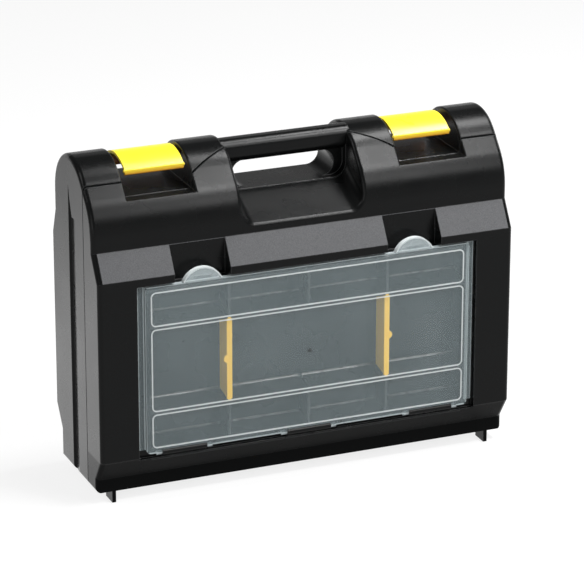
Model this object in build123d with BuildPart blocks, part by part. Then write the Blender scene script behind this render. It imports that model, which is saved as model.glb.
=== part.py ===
# Tool case: an upright clamshell case, with a parts organiser in its front under a clear lid.
# Sizes are in millimetres. X runs to the right along the front, Y to the rear and Z up.
# The origin is on the floor, under the middle of the case.
from build123d import *
import os
from math import atan2, cos, radians, sin, sqrt, tan

os.makedirs("parts", exist_ok=True)

# Case, overall
width = 420.0
wall = 3.0
seam_gap = 1.4
end_radius = 4.5
touching = 0.01

# Case, front to rear
front_depth = 39.0
rear_depth = 91.0
front_bulge = 15.5
rear_bulge = 9.0
skirt_run = 15.0
gable_run = 40.5
eave_radius = 53.0
crown_radius = 48.0
crown_flat = 0.5

# Case, from the floor up
foot_height = 11.5
strip_height = 13.5
skirt_rise = 22.0
bulge_height = 178.0
step_rise = 25.0
upper_height = 31.5
gable_rise = 45.0
rear_step_lift = 12.0
rear_skirt_lift = 15.0

# Foot ribs
foot_thickness = 3.8
foot_inset = 17.2
front_foot_length = 18.0
rear_foot_start = 11.0

# Grooves up the sides of the rear shell
groove_start = 23.5
groove_width = 16.0
groove_lip = 1.5
groove_depth = 3.0
groove_drop = 13.0
groove_fade = 30.0

# Main hinge
hinge_share = 0.62
hinge_pin_radius = 2.0
knuckle_radius = 4.4
knuckle_length = 24.0
knuckle_gap = 0.5
knuckle_web = 8.0
running_clearance = 0.05

# Handle
grip_thickness = 22.0
grip_height = 22.5
grip_roundness = 0.4
grip_setback = 31.0
leg_width = 9.0
hand_height = 26.0
hand_roundness = 0.49
scoop_length = 122.0
scoop_drop = 20.5
scoop_rear_drop = 11.0
scoop_flat = 46.7
scoop_corner = 13.0
scoop_rim = 4.0

# Latches and their channels
latch_share = 0.6536
channel_width = 68.0
channel_drop = 33.5
channel_rim = 1.5
latch_inner_gap = 3.3
latch_outer_gap = 6.7
latch_sink = 2.7
latch_thickness = 2.6
latch_setback = 11.0
lip_height = 5.4
lip_thickness = 3.0
lip_rounding = 1.4
latch_barrel_radius = 4.2
latch_pivot_inset = 5.4
latch_pivot_angle = 34.8
latch_pin_radius = 2.0
latch_nub_radius = 1.5
latch_nub_length = 1.0

# Organiser
pillar = 37.7
recess_depth = 6.0
recess_head = 7.5
pocket_depth = 22.0
pocket_back = 2.5
pocket_rim = 3.2
block_inset = 10.3
block_low = 6.0
block_wall = 2.4
block_head = 1.5
small_row = 33.1
row_wall = 3.4
floor_rises = (4.3, 4.2, 6.5)
column_wall = 2.5
columns = 4

# Finger recesses over the lid's tabs
finger_share = 0.5107
finger_width = 55.5
finger_sink = 3.0

# Organiser lid
lid_gap = 1.8
lid_flange = 5.9
lid_flange_thickness = 1.2
lid_flange_lift = 3.4
lid_thickness = 2.0
lid_rise = 2.8
lid_sill_drop = 2.2
lid_head_gap = 2.0
lid_corner = 4.0
lid_skirt = 1.8
lid_seat_gap = 0.3
lid_rib_margin = 1.0
lid_rib_width = 1.3
lid_rib_height = 0.5
lid_rib_corner = 5.0
tab_height = 13.0
tab_side_gap = 8.2
tab_dent_width = 18.0
tab_dent_height = 4.5
tab_dent_depth = 1.0
tab_dent_lift = 1.0

# Organiser lid hinge
lid_pin_radius = 1.6
lid_barrel_radius = 3.0
lid_barrel_length = 44.6
lid_barrel_gap = 0.6
lid_barrel_share = 0.7685
lid_axis_lift = 2.2
lid_barrel_sink = 0.4
lid_ear_length = 5.0
lid_ear_radius = 2.2

# Dividers
divider_thickness = 3.0
divider_edge = 5.3
divider_edge_depth = 2.0
divider_slot = 1.5
divider_clearance = 0.2
thumb_radius = 4.0
thumb_reach = 3.0

# Places that follow from the sizes above
half = width / 2
depth = front_depth + rear_depth
front = -depth / 2
rear = depth / 2
seam = front + front_depth
upper_front = front + front_bulge
upper_rear = rear - rear_bulge
front_strip = front + skirt_run
rear_strip = rear - skirt_run
bottom = foot_height
strip_top = bottom + strip_height
crease = strip_top + skirt_rise
step_low = crease + bulge_height
step_high = step_low + step_rise
eave = step_high + upper_height
top = eave + gable_rise
gable = upper_front + gable_run
crown_tangent = crown_radius * tan(atan2(gable_rise, gable_run) / 2)
crown_y = gable + crown_tangent
crown_z = top - crown_radius
rear_crown_radius = upper_rear - crown_y - crown_flat

hinge_z = bottom / 2
hinge_places = (-half * hinge_share, 0.0, half * hinge_share)
hinge_reach = knuckle_length * 1.5 + knuckle_gap

grip_y = seam + grip_setback
grip_low = top - grip_height
grip_reach = scoop_length / 2 + scoop_rim
scoop_floor = grip_low - hand_height
hand_length = scoop_length - 2 * leg_width
hand_corner = hand_height * hand_roundness
handle_face = grip_y - grip_thickness / 2
grip_rounding = grip_thickness * grip_roundness
leg_front = handle_face + grip_rounding
scoop_rear = handle_face + scoop_flat
scoop_slope = scoop_drop / (handle_face - upper_front)
seam_step = scoop_floor - scoop_slope * (handle_face - seam) - 2 * wall

channel_inner = half * latch_share - channel_width / 2
channel_outer = channel_inner + channel_width
channel_floor = top - channel_drop
latch_inner = channel_inner + latch_inner_gap
latch_outer = channel_outer - latch_outer_gap
latch_radius = crown_radius - latch_sink
pivot_radius = rear_crown_radius - latch_pivot_inset
pivot_y = upper_rear - rear_crown_radius + pivot_radius * cos(radians(latch_pivot_angle))
pivot_z = top - rear_crown_radius + pivot_radius * sin(radians(latch_pivot_angle))
lip_y = seam + latch_setback
lip_top = crown_z + sqrt(latch_radius**2 - (crown_y - lip_y) ** 2)
latch_end = crown_z + sqrt(latch_radius**2 - (crown_y - pivot_y) ** 2)

recess_half = half - pillar
recess_floor = front + recess_depth
recess_top = step_low - recess_head
block_half = recess_half - block_inset
block_front = recess_floor - pocket_rim
pocket_floor = block_front + pocket_depth
block_back = pocket_floor + pocket_back
block_bottom = crease + block_low
lid_top = recess_top - lid_head_gap
block_top = lid_top - lid_skirt - block_head
low_row = block_bottom + block_wall
high_row = block_top - block_wall - small_row
middle_row = low_row + small_row + row_wall
rows = [
    (low_row, low_row + small_row),
    (middle_row, high_row - row_wall),
    (high_row, high_row + small_row),
]
pocket_half = block_half - block_wall
column_width = (2 * pocket_half - (columns - 1) * column_wall) / columns
column_pitch = column_width + column_wall

lid_half = recess_half - lid_gap - lid_flange
lid_bottom = crease + lid_rise
lid_sill = crease - lid_sill_drop
lid_back = block_front - lid_seat_gap
lid_front = lid_back - lid_thickness
flange_back = recess_floor - lid_seat_gap
lid_axis_y = recess_floor - lid_barrel_radius + lid_barrel_sink
lid_axis_z = crease + lid_axis_lift
lid_barrels = (-lid_half * lid_barrel_share, 0.0, lid_half * lid_barrel_share)
notch_half = lid_barrel_length / 2 + lid_barrel_gap
tab_x = half * finger_share
tab_half = finger_width / 2 - tab_side_gap
tab_radius = (tab_half**2 + tab_height**2) / (2 * tab_height)
tab_z = lid_top + tab_height - tab_radius


def brick(x, y, z, mode=Mode.ADD):
    """A box given by its limits along X, Y and Z."""
    with Locations(((x[0] + x[1]) / 2, (y[0] + y[1]) / 2, (z[0] + z[1]) / 2)):
        Box(abs(x[1] - x[0]), abs(y[1] - y[0]), abs(z[1] - z[0]), mode=mode)


def side_prism(points, x, mode=Mode.ADD):
    """A side outline of (y, z) points, drawn out along X between two limits."""
    with BuildSketch(Plane.YZ.offset(min(x))) as outline:
        with BuildLine():
            Polyline(*points, close=True)
        make_face()
    extrude(outline.sketch, amount=abs(x[1] - x[0]), mode=mode)


def bar(y, z, radius, x, mode=Mode.ADD):
    """A round bar along X between two limits."""
    with Locations(Plane.YZ.offset(min(x)) * Pos(y, z)):
        Cylinder(radius, abs(x[1] - x[0]), align=(Align.CENTER, Align.CENTER, Align.MIN), mode=mode)


def case_outline(inset=0.0):
    """The case seen from its side, or its hollow when inset by the wall."""
    corners = [
        (front_strip, bottom),
        (front_strip, strip_top),
        (front, crease),
        (front, step_low),
        (upper_front, step_high),
        (upper_front, eave),
        (gable, top),
        (upper_rear, top),
        (upper_rear, step_high + rear_step_lift),
        (rear, step_low + rear_step_lift),
        (rear, crease + rear_skirt_lift),
        (rear_strip, strip_top + rear_skirt_lift),
        (rear_strip, bottom),
    ]
    radii = [0.0] * len(corners)
    radii[5:8] = [eave_radius, crown_radius, rear_crown_radius]
    with BuildSketch(Plane.YZ) as outline:
        with BuildLine():
            FilletPolyline(*corners, radius=radii, close=True)
        make_face()
        if inset:
            offset(amount=-inset, kind=Kind.INTERSECTION)
    return outline.sketch


def rim_edges(edges, x):
    """Those of the edges that lie on the outside of the case, between two limits along X."""
    profile = case_outline().wire()

    def on_rim(edge):
        ends = ((edge @ 0).X, (edge @ 1).X)
        middle = Vertex(0, (edge @ 0.5).Y, (edge @ 0.5).Z)
        between = min(ends) > min(x) - touching and max(ends) < max(x) + touching
        return between and profile.distance_to(middle) < touching

    return edges.filter_by(on_rim)


def channel(side, grow=0.0):
    """The channel that a latch lies in, open to the front and the rear."""
    x = (side * (channel_inner - grow), side * (channel_outer + grow))
    brick(x, (2 * front, 2 * rear), (channel_floor - grow, 2 * top), mode=Mode.SUBTRACT)


def scoop(grow=0.0):
    """The open space round the handle, with a floor that slopes to the front and the rear."""
    slope_foot = scoop_floor - scoop_drop - grow
    rear_slope_foot = scoop_floor - scoop_rear_drop - grow
    outline = [
        (2 * front, slope_foot),
        (upper_front, slope_foot),
        (handle_face, scoop_floor - grow),
        (scoop_rear, scoop_floor - grow),
        (upper_rear, rear_slope_foot),
        (2 * rear, rear_slope_foot),
        (2 * rear, 2 * top),
        (2 * front, 2 * top),
    ]
    reach = scoop_length / 2 + grow
    with BuildPart() as space:
        side_prism(outline, (-reach, reach))
        low = space.edges().filter_by(Plane.YZ).filter_by(lambda edge: edge.center().Z < top)
        fillet(low.filter_by(lambda edge: abs(edge.center().Y) < rear), scoop_corner + grow)
    add(space.part, mode=Mode.SUBTRACT)


def organiser_recess(grow=0.0):
    """The shallow recess that the organiser lid lies in, down to a sill below the crease."""
    x = (-recess_half - grow, recess_half + grow)
    z = (lid_sill - grow, recess_top + grow)
    brick(x, (2 * front, recess_floor + grow), z, mode=Mode.SUBTRACT)


def finger_recess(side, grow=0.0):
    """The recess over a tab of the organiser lid, back to the upper face."""
    reach = finger_width / 2 + grow
    x = (side * half * finger_share - reach, side * half * finger_share + reach)
    z = (recess_top - finger_sink - grow, step_high + step_rise)
    brick(x, (2 * front, upper_front + grow), z, mode=Mode.SUBTRACT)


def compartment(x, row, floor_rise, deepen=0.0):
    """A compartment of the organiser, or a slot for a divider, with a floor that rises to the rear."""
    low = row[0] - deepen
    high = row[1] + deepen
    outline = [
        (2 * front, low),
        (block_front, low),
        (pocket_floor, low + floor_rise),
        (pocket_floor, high),
        (2 * front, high),
    ]
    side_prism(outline, x, mode=Mode.SUBTRACT)


def front_zone(gap):
    """Everything in front of the seam, which steps back at the handle."""
    face = seam + gap
    back = handle_face + gap
    with BuildPart() as zone:
        brick((-width, width), (2 * front, face), (-top, 2 * top))
        with BuildSketch(Plane.XY.offset(seam_step - gap)) as plan:
            with BuildLine():
                Polyline(
                    (-channel_inner, face),
                    (-scoop_length / 2, back),
                    (scoop_length / 2, back),
                    (channel_inner, face),
                    close=True,
                )
            make_face()
        extrude(plan.sketch, amount=top)
    return zone.part


def hinge_knuckle(toward, x, bore):
    """A knuckle of the main hinge, with its web to the shell toward the front (-1) or rear (1)."""
    bar(seam, hinge_z, knuckle_radius, x)
    brick(x, (seam + toward * seam_gap, seam + toward * knuckle_web), (hinge_z, bottom + wall / 2))
    bar(seam, hinge_z, bore, x, mode=Mode.SUBTRACT)


def foot_rib(side, y):
    """A foot rib under the case, on its left (-1) or right (1)."""
    middle = side * (half - foot_inset)
    x = (middle - foot_thickness / 2, middle + foot_thickness / 2)
    brick(x, y, (0.0, bottom + wall / 2))


def side_groove(side):
    """A groove up one side of the rear shell, which fades out near the top."""
    near = seam + groove_start
    far = near + groove_width
    lip = far + groove_lip
    outside = side * (half + wall)
    face = side * half
    floor = side * (half - groove_depth)
    fade_low = eave - groove_drop
    with BuildPart() as groove:
        with BuildSketch() as foot:
            with BuildLine():
                Polyline((outside, near), (face, near), (floor, far), (face, lip), (outside, lip), close=True)
            make_face()
        extrude(foot.sketch, amount=fade_low)
        with BuildSketch(Plane.XY.offset(fade_low + groove_fade)) as fade:
            with BuildLine():
                Polyline((outside, far), (outside, lip), (face, lip), (face, far), close=True)
            make_face()
        with BuildSketch(Plane.XY.offset(fade_low)) as full:
            with BuildLine():
                Polyline((outside, near), (outside, lip), (face, lip), (floor, far), close=True)
            make_face()
        loft([full.sketch.face(), fade.sketch.face()], ruled=True)
    add(groove.part, mode=Mode.SUBTRACT)


# Case, whole: the outside of both shells with the handle and the latch channels
with BuildPart() as case:
    extrude(case_outline(), amount=half, both=True)
    fillet(case.faces().filter_by(Axis.X).edges(), end_radius)
    scoop()
    fillet(rim_edges(case.edges(Select.LAST), (-scoop_length / 2, scoop_length / 2)), scoop_rim)
    for side in (-1, 1):
        channel(side)
        rim = rim_edges(case.edges(Select.LAST), (side * channel_inner, side * channel_outer))
        fillet(rim, channel_rim)
        side_groove(side)

# Handle: a rounded bar across the scoop, on a deep leg at each end of the hand gap
with BuildPart() as grip:
    with BuildSketch(Plane.YZ.offset(-grip_reach)):
        with Locations((grip_y, top - grip_height / 2)):
            RectangleRounded(grip_thickness, grip_height, grip_rounding)
    extrude(amount=2 * grip_reach)
    with BuildSketch(Plane.XZ.offset(-scoop_rear)):
        leg_low = scoop_floor - wall / 2
        leg_high = grip_low + grip_height / 2
        with Locations((0, (leg_low + leg_high) / 2)):
            Rectangle(2 * grip_reach, leg_high - leg_low)
            Rectangle(hand_length - 2 * hand_corner, leg_high - leg_low, mode=Mode.SUBTRACT)
        with Locations((0, scoop_floor + hand_height / 2)):
            RectangleRounded(hand_length, hand_height, hand_corner, mode=Mode.SUBTRACT)
    extrude(amount=scoop_rear - leg_front)

# Hollow of the case, shared by both shells
with BuildPart() as hollow:
    extrude(case_outline(wall), amount=half - wall, both=True)
    fillet(hollow.faces().filter_by(Axis.X).edges(), end_radius - wall)
    scoop(wall)
    organiser_recess(wall)
    for side in (-1, 1):
        channel(side, wall)
        finger_recess(side, wall)
        groove_x = (side * (half - groove_depth - wall), side * half)
        groove_y = (seam + groove_start - wall, seam + groove_start + groove_width + groove_lip + wall)
        brick(groove_x, groove_y, (bottom, top), mode=Mode.SUBTRACT)
    brick((-block_half, block_half), (front, block_back), (block_bottom, block_top), mode=Mode.SUBTRACT)

# Front shell: the shallow half, with the organiser's compartments
with BuildPart() as front_shell:
    add(case.part)
    add(hollow.part, mode=Mode.SUBTRACT)
    add(front_zone(-seam_gap / 2), mode=Mode.INTERSECT)
    organiser_recess()
    for side in (-1, 1):
        finger_recess(side)
    brick((-block_half, block_half), (block_front, recess_floor + wall), (block_bottom, block_top))
    for row, floor_rise in ((rows[0], floor_rises[0]), (rows[2], floor_rises[2])):
        for column in range(columns):
            left = -pocket_half + column * column_pitch
            compartment((left, left + column_width), row, floor_rise)
    compartment((-pocket_half, pocket_half), rows[1], floor_rises[1])
    for place in (-column_pitch, 0.0, column_pitch):
        slot_half = divider_thickness / 2 + divider_clearance
        compartment((place - slot_half, place + slot_half), rows[1], floor_rises[1], divider_slot)
    for side in (-1, 1):
        foot_rib(side, (front_strip, front_strip + front_foot_length))
    for place in lid_barrels:
        barrel_x = (place - lid_barrel_length / 2, place + lid_barrel_length / 2)
        bar(lid_axis_y, lid_axis_z, lid_barrel_radius, barrel_x)
        web_z = (lid_sill, lid_axis_z + lid_barrel_radius / 2)
        brick(barrel_x, (lid_axis_y, recess_floor + wall / 2), web_z)
        bar(lid_axis_y, lid_axis_z, lid_pin_radius + running_clearance, barrel_x, mode=Mode.SUBTRACT)
    for place in hinge_places:
        for side in (-1, 1):
            knuckle_x = (place + side * (knuckle_length / 2 + knuckle_gap), place + side * hinge_reach)
            hinge_knuckle(-1, knuckle_x, hinge_pin_radius)

front_shell.part.label = "front_shell"
export_step(front_shell.part, "parts/front_shell.step")

# Rear shell: the deep half, with the handle
with BuildPart() as rear_shell:
    add(case.part)
    add(hollow.part, mode=Mode.SUBTRACT)
    add(front_zone(seam_gap / 2), mode=Mode.SUBTRACT)
    add(grip.part)
    for side in (-1, 1):
        foot_rib(side, (seam + rear_foot_start, rear_strip))
        pin_x = (side * (channel_inner - wall), side * (channel_outer + wall))
        bar(pivot_y, pivot_z, latch_pin_radius, pin_x, mode=Mode.SUBTRACT)
    for place in hinge_places:
        knuckle_x = (place - knuckle_length / 2, place + knuckle_length / 2)
        hinge_knuckle(1, knuckle_x, hinge_pin_radius + running_clearance)

rear_shell.part.label = "rear_shell"
export_step(rear_shell.part, "parts/rear_shell.step")

# Hinge pins: pressed into the front shell's knuckles, turning in the rear shell's
for name, place in zip(("left", "middle", "right"), hinge_places):
    with BuildPart() as hinge_pin:
        bar(seam, hinge_z, hinge_pin_radius, (place - hinge_reach, place + hinge_reach))
    hinge_pin.part.label = f"hinge_pin_{name}"
    export_step(hinge_pin.part, f"parts/hinge_pin_{name}.step")

# Latches: curved plates, each with a lip at the front, a barrel at the rear and two side nubs
for name, side in (("left", -1), ("right", 1)):
    with BuildPart() as latch:
        with BuildSketch(Plane.YZ.offset(min(side * latch_inner, side * latch_outer))) as latch_side:
            with Locations((crown_y, crown_z)):
                Circle(latch_radius)
                Circle(latch_radius - latch_thickness, mode=Mode.SUBTRACT)
            with Locations((lip_y, pivot_z)):
                Rectangle(pivot_y - lip_y, top, align=(Align.MIN, Align.MIN), mode=Mode.INTERSECT)
            with Locations((lip_y, lip_top - lip_height)):
                Rectangle(lip_thickness, lip_height, align=(Align.MIN, Align.MIN))
            lip_corners = latch_side.vertices().filter_by(lambda corner: corner.X < lip_y + touching)
            fillet(lip_corners, lip_rounding)
            with Locations((pivot_y, pivot_z)):
                Rectangle(latch_barrel_radius, latch_end - pivot_z, align=(Align.MAX, Align.MIN))
                Circle(latch_barrel_radius)
                Circle(latch_pin_radius + running_clearance, mode=Mode.SUBTRACT)
        extrude(amount=latch_outer - latch_inner)
        nub_x = (side * latch_inner - side * latch_nub_length, side * latch_outer + side * latch_nub_length)
        bar(lip_y + latch_nub_radius, lip_top - latch_nub_radius, latch_nub_radius, nub_x)
    latch.part.label = f"latch_{name}"
    export_step(latch.part, f"parts/latch_{name}.step")

    with BuildPart() as latch_pin:
        pin_x = (side * (channel_inner - wall), side * (channel_outer + wall))
        bar(pivot_y, pivot_z, latch_pin_radius, pin_x)
    latch_pin.part.label = f"latch_pin_{name}"
    export_step(latch_pin.part, f"parts/latch_pin_{name}.step")

# Dividers: plates in the slots of the middle row, with a wide front edge and a thumb nub
for name, side in (("left", -1), ("right", 1)):
    middle = side * column_pitch
    with BuildPart() as divider:
        plate_back = pocket_floor - divider_clearance
        plate_low = rows[1][0] - divider_slot
        plate_high = rows[1][1] + divider_slot - 2 * divider_clearance
        floor_slope = floor_rises[1] / pocket_depth
        outline = [
            (block_front, plate_low),
            (plate_back, plate_low + floor_slope * (plate_back - block_front)),
            (plate_back, plate_high),
            (block_front, plate_high),
        ]
        side_prism(outline, (middle - divider_thickness / 2, middle + divider_thickness / 2))
        edge_x = (middle - divider_edge / 2, middle + divider_edge / 2)
        edge_y = (block_front, block_front + divider_edge_depth)
        edge_low = rows[1][0] + floor_slope * divider_edge_depth + divider_clearance
        edge_z = (edge_low, rows[1][1] - divider_clearance)
        brick(edge_x, edge_y, edge_z)
        thumb_x = middle + side * (divider_edge / 2 + thumb_reach - thumb_radius)
        with BuildSketch(Plane.XZ.offset(-edge_y[1])):
            with Locations((thumb_x, (edge_z[0] + edge_z[1]) / 2)):
                Circle(thumb_radius)
        extrude(amount=divider_edge_depth)
    divider.part.label = f"divider_{name}"
    export_step(divider.part, f"parts/divider_{name}.step")

# Organiser lid: a clear plate with raised rectangles, tabs, side flanges and hinge pins
with BuildPart() as organiser_lid:
    with BuildSketch(Plane.XZ.offset(-lid_back)):
        with Locations((0, (lid_bottom + lid_top) / 2)):
            RectangleRounded(2 * lid_half, lid_top - lid_bottom, lid_corner)
        with Locations((-tab_x, tab_z), (tab_x, tab_z)):
            Circle(tab_radius)
        notch_top = lid_axis_z + lid_barrel_radius + lid_barrel_gap
        with Locations(*[(place, lid_bottom) for place in lid_barrels]):
            Rectangle(2 * notch_half, 2 * (notch_top - lid_bottom), mode=Mode.SUBTRACT)
    extrude(amount=lid_thickness)
    with BuildSketch(Plane.XZ.offset(-lid_front)):
        rib_half = pocket_half - lid_rib_margin / 2
        for row in rows:
            rib_height = row[1] - row[0] + lid_rib_margin
            with Locations((0, (row[0] + row[1]) / 2)):
                RectangleRounded(2 * rib_half, rib_height, lid_rib_corner)
                RectangleRounded(
                    2 * (rib_half - lid_rib_width),
                    rib_height - 2 * lid_rib_width,
                    lid_rib_corner - lid_rib_width,
                    mode=Mode.SUBTRACT,
                )
    extrude(amount=lid_rib_height)
    dent_z = (lid_top + tab_dent_lift, lid_top + tab_dent_lift + tab_dent_height)
    skirt_z = (lid_bottom + lid_flange_lift, lid_top)
    for side in (-1, 1):
        brick((side * (lid_half - lid_skirt), side * lid_half), (lid_back, flange_back), skirt_z)
        dent_x = (side * tab_x - tab_dent_width / 2, side * tab_x + tab_dent_width / 2)
        brick(dent_x, (lid_front, lid_front + tab_dent_depth), dent_z, mode=Mode.SUBTRACT)
        flange_x = (side * (lid_half - lid_skirt), side * (lid_half + lid_flange))
        brick(flange_x, (flange_back - lid_flange_thickness, flange_back), skirt_z)
    brick((-lid_half, lid_half), (lid_back, flange_back), (lid_top - lid_skirt, lid_top))
    with BuildSketch(Plane.XZ.offset(-flange_back)):
        with Locations((-tab_x, tab_z), (tab_x, tab_z)):
            Circle(tab_radius)
            Circle(tab_radius - lid_skirt, mode=Mode.SUBTRACT)
        with Locations((0, lid_top - lid_skirt)):
            Rectangle(2 * lid_half, 2 * tab_height, align=(Align.CENTER, Align.MIN), mode=Mode.INTERSECT)
    extrude(amount=flange_back - lid_back)
    for place in lid_barrels:
        pin_reach = notch_half + lid_ear_length
        bar(lid_axis_y, lid_axis_z, lid_pin_radius, (place - pin_reach, place + pin_reach))
        for side in (-1, 1):
            ear_x = (place + side * notch_half, place + side * pin_reach)
            bar(lid_axis_y, lid_axis_z, lid_ear_radius, ear_x)

organiser_lid.part.label = "organiser_lid"
export_step(organiser_lid.part, "parts/organiser_lid.step")
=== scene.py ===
"""The looks of the tool case: materials, small moulding marks, floor, light and camera."""
from math import cos, pi, radians, sin

import bpy
from mathutils import Matrix, Vector


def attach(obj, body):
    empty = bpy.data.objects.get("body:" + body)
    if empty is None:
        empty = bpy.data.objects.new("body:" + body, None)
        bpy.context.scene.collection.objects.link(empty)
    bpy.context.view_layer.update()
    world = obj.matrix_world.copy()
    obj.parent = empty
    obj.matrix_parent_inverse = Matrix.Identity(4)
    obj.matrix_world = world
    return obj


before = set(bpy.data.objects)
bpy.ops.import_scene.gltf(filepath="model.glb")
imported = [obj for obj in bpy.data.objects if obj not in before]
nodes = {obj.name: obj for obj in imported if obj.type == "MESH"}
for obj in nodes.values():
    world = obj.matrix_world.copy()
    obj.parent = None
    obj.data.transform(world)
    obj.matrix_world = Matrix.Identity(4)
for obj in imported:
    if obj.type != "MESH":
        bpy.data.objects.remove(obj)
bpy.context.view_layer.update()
scene = bpy.context.scene
scene.view_settings.view_transform = "Standard"

# Places on the case, in metres
PATCH_LOW, PATCH_HIGH = 0.225, 0.250
PATCH_SLOPE = 0.0155 / 0.025
PATCH_END = 0.2052
PATCH_BAND, PATCH_MARGIN = 0.0006, 0.0003
FRONT = -0.065
CREASE = 0.047
LID_FACE = -0.0645
LIP_LOW, LIP_HIGH = 0.3090, 0.3146
LID_HALF, LID_LOW, LID_TOP, FLANGE_END = 0.1646, 0.0498, 0.2155, 0.1705
TAB_X, TAB_Z, TAB_RADIUS = 0.10725, 0.2073, 0.0212
LINE = 0.0006
EJECTOR_X = (-0.097, -0.033, 0.033, 0.097)
EJECTOR_Z = 0.0525
GATE_Z = 0.130
GATE_SIZE, EJECTOR_SIZE = (0.0022, 0.0004), (0.0014, 0.0001)
POCKET_HALF, POCKET_BACK, POCKET_DEPTH = 0.1596, -0.0402, 0.022
ROW_FLOORS = (0.0554, 0.0919, 0.1767)
FLOOR_RISES = (0.0043, 0.0042, 0.0065)
COLUMNS, COLUMN_WALL, MIDDLE_ROW, SLOT_WIDTH = 4, 0.0025, 2, 0.0034
ROUNDING = 0.0022
RIM_BAND = 0.0003


class Shader:
    """A new material with one Principled shader, and short ways to add nodes to it."""

    def __init__(self, name, **sockets):
        self.material = bpy.data.materials.new(name)
        self.material.use_nodes = True
        self.tree = self.material.node_tree
        self.surface = self.tree.nodes["Principled BSDF"]
        for socket, value in sockets.items():
            self.surface.inputs[socket.replace("_", " ")].default_value = value
        self.place = self.add("ShaderNodeTexCoord").outputs["Object"]

    def add(self, kind, settings=None, **inputs):
        """A node with its settings, whose inputs are values or other nodes' outputs."""
        made = self.tree.nodes.new(kind)
        for key, value in (settings or {}).items():
            setattr(made, key, value)
        for key, value in inputs.items():
            by_number = key[0] == "i" and key[1:].isdigit()
            socket = made.inputs[int(key[1:]) if by_number else key.replace("_", " ")]
            if isinstance(value, bpy.types.NodeSocket):
                self.tree.links.new(value, socket)
            else:
                socket.default_value = value
        return made

    def math(self, operation, a, b=0.0):
        return self.add("ShaderNodeMath", {"operation": operation}, i0=a, i1=b).outputs[0]

    def noise(self, scale, detail=2.0, roughness=0.5):
        return self.add(
            "ShaderNodeTexNoise", Vector=self.place, Scale=scale, Detail=detail, Roughness=roughness
        ).outputs["Fac"]

    def remap(self, value, low, high, to_low, to_high):
        return self.add(
            "ShaderNodeMapRange", i0=value, i1=low, i2=high, i3=to_low, i4=to_high
        ).outputs[0]

    def blend(self, share, a, b):
        mix = self.add("ShaderNodeMix", {"data_type": "RGBA"}, i0=share)
        for socket, value in ((mix.inputs[6], a), (mix.inputs[7], b)):
            if isinstance(value, bpy.types.NodeSocket):
                self.tree.links.new(value, socket)
            else:
                socket.default_value = (*value, 1.0)
        return mix.outputs[2]

    def axes(self):
        return self.add("ShaderNodeSeparateXYZ", Vector=self.place).outputs

    def rounded(self, radius):
        """A normal that rounds sharp edges, and how near an edge is."""
        bevel = self.add("ShaderNodeBevel", {"samples": 6}, Radius=radius).outputs[0]
        true = self.add("ShaderNodeNewGeometry").outputs["Normal"]
        dot = self.add("ShaderNodeVectorMath", {"operation": "DOT_PRODUCT"}, i0=bevel, i1=true)
        return bevel, self.remap(dot.outputs["Value"], 1.0, 0.9, 0.0, 1.0)

    def bump(self, height, strength, distance, normal):
        return self.add(
            "ShaderNodeBump", Strength=strength, Distance=distance, Height=height, Normal=normal
        ).outputs[0]

    def set(self, **sockets):
        for socket, value in sockets.items():
            self.tree.links.new(value, self.surface.inputs[socket.replace("_", " ")])


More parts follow.
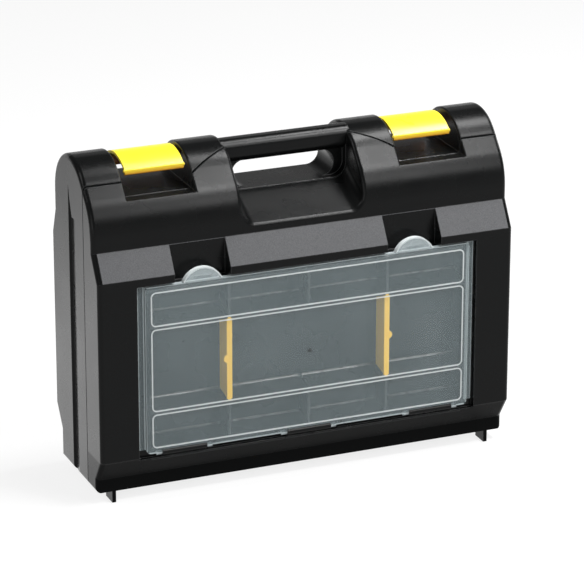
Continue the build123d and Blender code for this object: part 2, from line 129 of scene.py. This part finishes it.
def black_plastic(name, patches=False):
    """Fine-grained black moulding with a painted highlight along its edges. The front shell also has coarser
    grey patches, a duller skirt, painted highlights on the front edges of the organiser's walls and a
    smoother finish inside its compartments."""
    s = Shader(name)
    bevel, edge = s.rounded(0.0010)
    cloudy = s.noise(22.0, 3.0)
    grain = s.noise(1500.0, 2.0, 0.6)
    # Painted highlight: a paler colour along the edges, broken into patches by noise.
    painted_edge_highlight = s.math("MULTIPLY", edge, s.remap(s.noise(60.0, 2.0), 0.3, 0.7, 0.45, 0.80))
    colour = s.blend(cloudy, (0.0018, 0.0020, 0.0021), (0.0034, 0.0037, 0.0037))
    colour = s.blend(painted_edge_highlight, colour, (0.060, 0.062, 0.063))
    rough = s.remap(cloudy, 0.3, 0.7, 0.24, 0.30)
    turned = s.add("ShaderNodeLayerWeight", Blend=0.5).outputs["Facing"]
    gloss = s.remap(turned, 0.53, 0.64, 0.125, 0.90)
    height = grain
    if patches:
        x, y, z = s.axes()
        rise = s.math("MULTIPLY", s.math("SUBTRACT", z, PATCH_LOW), PATCH_SLOPE)
        off = s.math("ABSOLUTE", s.math("SUBTRACT", s.math("SUBTRACT", y, FRONT), rise))
        mask = s.math("LESS_THAN", off, PATCH_BAND)
        mask = s.math("MULTIPLY", mask, s.math("GREATER_THAN", z, PATCH_LOW + PATCH_MARGIN))
        mask = s.math("MULTIPLY", mask, s.math("LESS_THAN", z, PATCH_HIGH - PATCH_MARGIN))
        mask = s.math("MULTIPLY", mask, s.math("LESS_THAN", s.math("ABSOLUTE", x), PATCH_END))
        coarse = s.noise(1100.0, 3.0, 0.7)
        share = s.remap(coarse, 0.3, 0.7, 0.0, 1.0)
        mottled = s.blend(share, (0.054, 0.055, 0.058), (0.104, 0.105, 0.109))
        colour = s.blend(mask, colour, mottled)
        behind_lid = s.math("LESS_THAN", s.math("ABSOLUTE", x), POCKET_HALF)
        behind_lid = s.math("MULTIPLY", behind_lid, s.math("LESS_THAN", z, LID_TOP))
        inward = s.math("SUBTRACT", y, POCKET_BACK - POCKET_DEPTH)
        # Painted highlight on the front edges of the organiser's walls, behind the lid.
        painted_wall_highlight = s.math("MULTIPLY", behind_lid, s.math("LESS_THAN", s.math("ABSOLUTE", inward), RIM_BAND))
        colour = s.blend(painted_wall_highlight, colour, (0.040, 0.043, 0.044))
        pocket = s.math("MULTIPLY", behind_lid, s.math("GREATER_THAN", inward, RIM_BAND))
        grain = s.math("MULTIPLY", grain, s.remap(pocket, 0.0, 1.0, 1.0, 0.15))
        rough = s.math("ADD", rough, s.math("MULTIPLY", mask, 0.25))
        height = s.math("ADD", grain, s.math("MULTIPLY", mask, coarse))
        gloss = s.math("MULTIPLY", gloss, s.remap(z, CREASE - 0.0015, CREASE + 0.0005, 0.28, 1.0))
    s.set(
        Base_Color=colour,
        Roughness=rough,
        Specular_IOR_Level=gloss,
        Normal=s.bump(height, 0.13, 0.0003, bevel),
    )
    return s.material


def yellow_plastic(name):
    """Smooth bright yellow moulding, with painted shade that deepens the lip to orange and a painted
    highlight along its edges.
    """
    s = Shader(name, Specular_IOR_Level=0.4)
    bevel, edge = s.rounded(0.0007)
    z = s.axes()["Z"]
    cloudy = s.noise(35.0, 2.0)
    colour = s.blend(cloudy, (0.84, 0.66, 0.022), (0.89, 0.71, 0.030))
    # Painted shade: the lip deepens to orange towards its lower edge.
    colour = s.blend(s.remap(z, LIP_LOW, LIP_HIGH, 1.0, 0.0), colour, (0.46, 0.13, 0.004))
    # Painted highlight: paler yellow along the edges.
    colour = s.blend(s.math("MULTIPLY", edge, 0.25), colour, (0.98, 0.88, 0.30))
    fine = s.noise(900.0, 2.0)
    s.set(
        Base_Color=colour,
        Roughness=s.remap(cloudy, 0.3, 0.7, 0.26, 0.36),
        Normal=s.bump(fine, 0.06, 0.0002, bevel),
    )
    return s.material


def divider_plastic(name):
    """Amber yellow moulding of the dividers, with a painted highlight along its edges."""
    s = Shader(name, Specular_IOR_Level=0.35)
    bevel, edge = s.rounded(0.0006)
    cloudy = s.noise(60.0, 3.0)
    colour = s.blend(cloudy, (0.93, 0.56, 0.04), (0.97, 0.64, 0.08))
    # Painted highlight: paler amber along the edges.
    colour = s.blend(s.math("MULTIPLY", edge, 0.4), colour, (0.96, 0.74, 0.22))
    s.set(
        Base_Color=colour,
        Roughness=s.remap(cloudy, 0.3, 0.7, 0.36, 0.48),
        Normal=s.bump(s.noise(1000.0), 0.10, 0.0002, bevel),
    )
    return s.material


def clear_plastic(name):
    """Slightly hazy clear moulding with frosted tabs, whiter and denser as painted highlights along its
    edges, ribs and the tabs' rims.
    """
    s = Shader(name, Specular_IOR_Level=0.5)
    x, y, z = s.axes()
    across = s.math("ABSOLUTE", x)
    cloudy = s.noise(14.0, 3.0)

    def band(value, low, high):
        return s.math("MULTIPLY", s.math("GREATER_THAN", value, low), s.math("LESS_THAN", value, high))

    # Painted highlights: the ribs, the lid's edges and the tabs' rims are made whiter and denser; the tabs
    # themselves are frosted.
    rib = s.math("LESS_THAN", y, LID_FACE - 0.00012)
    inner_line = band(across, LID_HALF - LINE, LID_HALF + LINE)
    side_line = s.math("MAXIMUM", inner_line, band(across, FLANGE_END - LINE, 1.0))
    end_line = s.math("MAXIMUM", band(z, LID_TOP - LINE, LID_TOP + LINE), band(z, 0.0, LID_LOW + LINE))
    edge_highlights = s.math("MULTIPLY", s.math("MAXIMUM", side_line, end_line), 0.45)
    tab = s.math("GREATER_THAN", z, LID_TOP + LINE)
    off_x = s.math("SUBTRACT", across, TAB_X)
    off_z = s.math("SUBTRACT", z, TAB_Z)
    off = s.math("SQRT", s.math("ADD", s.math("MULTIPLY", off_x, off_x), s.math("MULTIPLY", off_z, off_z)))
    tab_rim_highlight = s.math("MULTIPLY", tab, s.math("GREATER_THAN", off, TAB_RADIUS - 2 * LINE))
    dent = s.math("MULTIPLY", tab, band(y, LID_FACE + 0.0003, LID_FACE + 0.0013))
    frosted = s.math("MULTIPLY", s.math("SUBTRACT", tab, s.math("MULTIPLY", dent, 0.6)), 0.31)
    frosted = s.math("MAXIMUM", frosted, s.math("MULTIPLY", tab_rim_highlight, 0.8))
    frost_and_highlight = s.math("MAXIMUM", s.math("MAXIMUM", s.math("MULTIPLY", rib, 0.9), frosted), edge_highlights)
    colour = s.blend(cloudy, (0.70, 0.86, 0.90), (0.77, 0.92, 0.96))
    colour = s.blend(frost_and_highlight, colour, (0.95, 0.98, 0.98))
    haze = s.remap(cloudy, 0.3, 0.7, 0.088, 0.103)
    normal = s.add("ShaderNodeNewGeometry").outputs["Normal"]
    s.set(
        Base_Color=colour,
        Alpha=s.math("ADD", haze, s.math("MULTIPLY", frost_and_highlight, 0.55)),
        Roughness=s.remap(s.noise(90.0, 2.0), 0.3, 0.7, 0.16, 0.26),
        Normal=s.bump(s.noise(700.0), 0.008, 0.0002, normal),
    )
    return s.material


def smooth_black(name):
    """Ungrained black moulding of the roundings inside the organiser, painted a paler brown as their
    highlight.
    """
    s = Shader(name, Specular_IOR_Level=0.5)
    cloudy = s.noise(90.0, 3.0)
    normal = s.add("ShaderNodeNewGeometry").outputs["Normal"]
    # Painted highlight: the roundings are coloured a paler brown than the black moulding.
    s.set(
        Base_Color=s.blend(cloudy, (0.020, 0.016, 0.013), (0.045, 0.037, 0.030)),
        Roughness=s.remap(cloudy, 0.3, 0.7, 0.24, 0.32),
        Normal=s.bump(s.noise(900.0), 0.04, 0.0002, normal),
    )
    return s.material


def mark_plastic(name, thin, thick):
    """The lid's plastic on a small dome, painted dark for the dark behind it that the dome turns into view.
    """
    s = Shader(name, Specular_IOR_Level=0.6)
    cloudy = s.noise(400.0, 2.0)
    normal = s.add("ShaderNodeNewGeometry").outputs["Normal"]
    # Painted refraction: a dark colour for the dark seen through the dome.
    s.set(
        Base_Color=s.blend(cloudy, (0.008, 0.010, 0.011), (0.024, 0.029, 0.031)),
        Alpha=s.remap(cloudy, 0.3, 0.7, thin, thick),
        Roughness=s.remap(cloudy, 0.3, 0.7, 0.18, 0.26),
        Normal=s.bump(s.noise(900.0), 0.03, 0.0002, normal),
    )
    return s.material


def steel(name):
    """Drawn steel rod, with fine marks round it."""
    s = Shader(name, Metallic=1.0)
    bevel, edge = s.rounded(0.0004)
    marks = s.add("ShaderNodeTexWave", Vector=s.place, Scale=900.0, Distortion=6.0, Detail=2.0).outputs["Fac"]
    colour = s.blend(s.noise(200.0), (0.42, 0.42, 0.43), (0.60, 0.60, 0.61))
    s.set(
        Base_Color=colour,
        Roughness=s.remap(marks, 0.0, 1.0, 0.26, 0.40),
        Normal=s.bump(marks, 0.05, 0.0001, bevel),
    )
    return s.material


def dress(material, *names):
    for name in names:
        mesh = nodes[name].data
        mesh.materials.clear()
        mesh.materials.append(material)


clear = clear_plastic("clear_lid")
yellow = yellow_plastic("latch_yellow")
dress(black_plastic("black_front", patches=True), "front_shell")
dress(black_plastic("black_rear"), "rear_shell")
dress(yellow, "latch_left", "latch_right")
dress(divider_plastic("divider_amber"), "divider_left", "divider_right")
dress(clear, "organiser_lid")
dress(
    steel("pin_steel"),
    "latch_pin_left",
    "latch_pin_right",
    "hinge_pin_left",
    "hinge_pin_middle",
    "hinge_pin_right",
)


def low_dome(name, x, y, z, radius, height, material, body, slot):
    """A small round mark on a face that looks to the front: a shallow dome of rings of points."""
    rings, turns = 4, 24
    points, faces = [(x, y - height, z)], []
    for ring in range(1, rings + 1):
        tilt = pi / 2 * ring / rings
        for turn in range(turns):
            angle = 2 * pi * turn / turns
            out = radius * sin(tilt)
            points.append((x + out * cos(angle), y - height * cos(tilt), z + out * sin(angle)))
    for turn in range(turns):
        after = (turn + 1) % turns
        faces.append((0, 1 + after, 1 + turn))
        for ring in range(rings - 1):
            a, b = 1 + ring * turns, 1 + (ring + 1) * turns
            faces.append((a + turn, a + after, b + after, b + turn))
    mesh = bpy.data.meshes.new(name)
    mesh.from_pydata(points, [], faces)
    mesh.shade_smooth()
    mesh.materials.append(material)
    piece = bpy.data.objects.new(name, mesh)
    scene.collection.objects.link(piece)
    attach(piece, body)


# Moulding marks on the lid: its gate, and the ejector pins along its lower edge
gate = mark_plastic("lid_gate_mark", 0.60, 0.72)
marks = mark_plastic("lid_marks", 0.22, 0.30)
low_dome("lid_gate", 0.0, LID_FACE, GATE_Z, *GATE_SIZE, gate, "lid", "clear_plastic")
for number, place in enumerate(EJECTOR_X, 1):
    name = f"lid_ejector_{number}"
    low_dome(name, place, LID_FACE, EJECTOR_Z, *EJECTOR_SIZE, marks, "lid", "clear_plastic")


def corner_strip(name, x, y, z, slope, radius, material, body):
    """A hollow rounding where a floor that rises to the rear by a slope meets an upright wall."""
    steps = 8
    centre = Vector((y - radius, z + radius - slope * radius))
    start = Vector((-slope, 1.0)).normalized().angle_signed(Vector((-1.0, 0.0)))
    section = [(y, z)]
    for step in range(steps + 1):
        turn = abs(start) * step / steps
        section.append((centre.x + radius * cos(turn), centre.y - radius * sin(turn)))
    count = len(section)
    points = [(end, *corner) for end in x for corner in section]
    faces = [tuple(range(count)), tuple(reversed(range(count, 2 * count)))]
    for corner in range(count):
        after = (corner + 1) % count
        faces.append((after, corner, corner + count, after + count))
    mesh = bpy.data.meshes.new(name)
    mesh.from_pydata(points, [], faces)
    mesh.shade_smooth()
    mesh.set_sharp_from_angle(angle=radians(40))
    mesh.materials.append(material)
    piece = bpy.data.objects.new(name, mesh)
    scene.collection.objects.link(piece)
    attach(piece, body)


# Rounded rear edges of the organiser's compartment floors
strip = smooth_black("black_rounding")
pitch = (2 * POCKET_HALF + COLUMN_WALL) / COLUMNS
for row, (floor_edge, floor_rise) in enumerate(zip(ROW_FLOORS, FLOOR_RISES), 1):
    between = SLOT_WIDTH if row == MIDDLE_ROW else COLUMN_WALL
    splits = [(number - COLUMNS / 2) * pitch for number in range(COLUMNS + 1)]
    splits[0], splits[-1] = -POCKET_HALF - between / 2, POCKET_HALF + between / 2
    for column, (left, right) in enumerate(zip(splits, splits[1:]), 1):
        corner_strip(
            f"floor_rounding_{row}_{column}",
            (left + between / 2, right - between / 2),
            POCKET_BACK,
            floor_edge + floor_rise,
            floor_rise / POCKET_DEPTH,
            ROUNDING,
            strip,
            "front_half",
        )

# Floor, world and light
floor_mesh = bpy.data.meshes.new("floor")
reach = 30.0
floor_mesh.from_pydata(
    [(-reach, -reach, 0), (reach, -reach, 0), (reach, reach, 0), (-reach, reach, 0)], [], [(0, 1, 2, 3)]
)
floor = bpy.data.objects.new("floor", floor_mesh)
floor.location.z = -0.0004
scene.collection.objects.link(floor)


def fade(tree, value, *limits):
    """A value between two limits, carried over to two other limits."""
    made = tree.nodes.new("ShaderNodeMapRange")
    for socket, limit in zip(("From Min", "From Max", "To Min", "To Max"), limits):
        made.inputs[socket].default_value = limit
    tree.links.new(value, made.inputs["Value"])
    return made.outputs[0]


def along(tree, coordinates, axis):
    """One axis of a kind of texture coordinates."""
    split = tree.nodes.new("ShaderNodeSeparateXYZ")
    tree.links.new(tree.nodes.new("ShaderNodeTexCoord").outputs[coordinates], split.inputs[0])
    return split.outputs[axis]


def seen_directly(tree):
    """1 on rays that show the floor: from the camera, through clear plastic or off gloss.
    Off gloss, the floor is shown dimmer to the rear, as if the light on it fell away."""

    def combine(operation, a, b):
        made = tree.nodes.new("ShaderNodeMath")
        made.operation = operation
        tree.links.new(a, made.inputs[0])
        tree.links.new(b, made.inputs[1])
        return made.outputs[0]

    path = tree.nodes.new("ShaderNodeLightPath").outputs
    dim = fade(tree, along(tree, "Object", "Y"), 0.38, 0.80, 1.0, 0.52)
    plain = combine("MAXIMUM", path["Is Camera Ray"], path["Is Transmission Ray"])
    return combine("MAXIMUM", plain, combine("MULTIPLY", path["Is Glossy Ray"], dim))


pale = bpy.data.materials.new("pale_floor")
pale.use_nodes = True
tree = pale.node_tree
tree.nodes.clear()
matte = tree.nodes.new("ShaderNodeBsdfDiffuse")
matte.inputs["Color"].default_value = (0.20, 0.20, 0.20, 1)
glow = tree.nodes.new("ShaderNodeEmission")
times = tree.nodes.new("ShaderNodeMath")
times.operation = "MULTIPLY"
times.inputs[1].default_value = 0.82
tree.links.new(seen_directly(tree), times.inputs[0])
tree.links.new(times.outputs[0], glow.inputs["Strength"])
both = tree.nodes.new("ShaderNodeAddShader")
tree.links.new(matte.outputs[0], both.inputs[0])
tree.links.new(glow.outputs[0], both.inputs[1])
tree.links.new(both.outputs[0], tree.nodes.new("ShaderNodeOutputMaterial").inputs["Surface"])
floor_mesh.materials.append(pale)

# A studio that is pale round the horizon and dim overhead
world = bpy.data.worlds.new("studio")
scene.world = world
world.use_nodes = True
tree = world.node_tree
sky = tree.nodes["Background"]
sky.inputs["Color"].default_value = (1, 1, 1, 1)
brightness = fade(tree, along(tree, "Generated", "Z"), 0.06, 0.22, 0.95, 0.16)
tree.links.new(brightness, sky.inputs["Strength"])


def softbox(name, at, toward, size, watts):
    lamp = bpy.data.lights.new(name, "AREA")
    lamp.shape = "RECTANGLE"
    lamp.size, lamp.size_y = size
    lamp.energy = watts
    holder = bpy.data.objects.new(name, lamp)
    holder.location = at
    holder.rotation_euler = (Vector(toward) - Vector(at)).to_track_quat("-Z", "Y").to_euler()
    scene.collection.objects.link(holder)


softbox("key_light", (0.58, -0.76, 1.50), (0, 0, 0.25), (0.5, 0.42), 22.0)
softbox("top_light", (0.66, -0.02, 1.75), (0, 0, 0.25), (0.5, 0.44), 23.0)
softbox("left_fill", (-1.7, -1.2, 0.7), (0, 0, 0.12), (0.9, 0.9), 6.0)
softbox("left_light", (-1.30, 0.05, 1.35), (0, 0, 0.25), (0.4, 0.7), 6.0)
softbox("right_light", (1.70, 0.40, 0.75), (0, 0, 0.25), (0.6, 0.6), 5.0)
softbox("front_light", (0.74, -1.62, 1.30), (0, 0, 0.2), (0.6, 0.6), 12.0)

# Camera at the photo's viewpoint
lens = bpy.data.cameras.new("camera")
lens.sensor_fit = "HORIZONTAL"
lens.sensor_width = 36.0
focal_pixels, picture_pixels = 3424.63, 584
lens.lens = lens.sensor_width * focal_pixels / picture_pixels
lens.clip_end = 100.0
camera = bpy.data.objects.new("camera", lens)
right = Vector((0.923694, -0.383128, 0.001451))
up = Vector((0.133225, 0.324743, 0.936372))
forward = Vector((0.359222, 0.864728, -0.351006))
camera.matrix_world = Matrix.LocRotScale(
    Vector((-1.168964, -2.834451, 1.315845)), Matrix((right, up, -forward)).transposed(), None
)
scene.collection.objects.link(camera)
scene.camera = camera
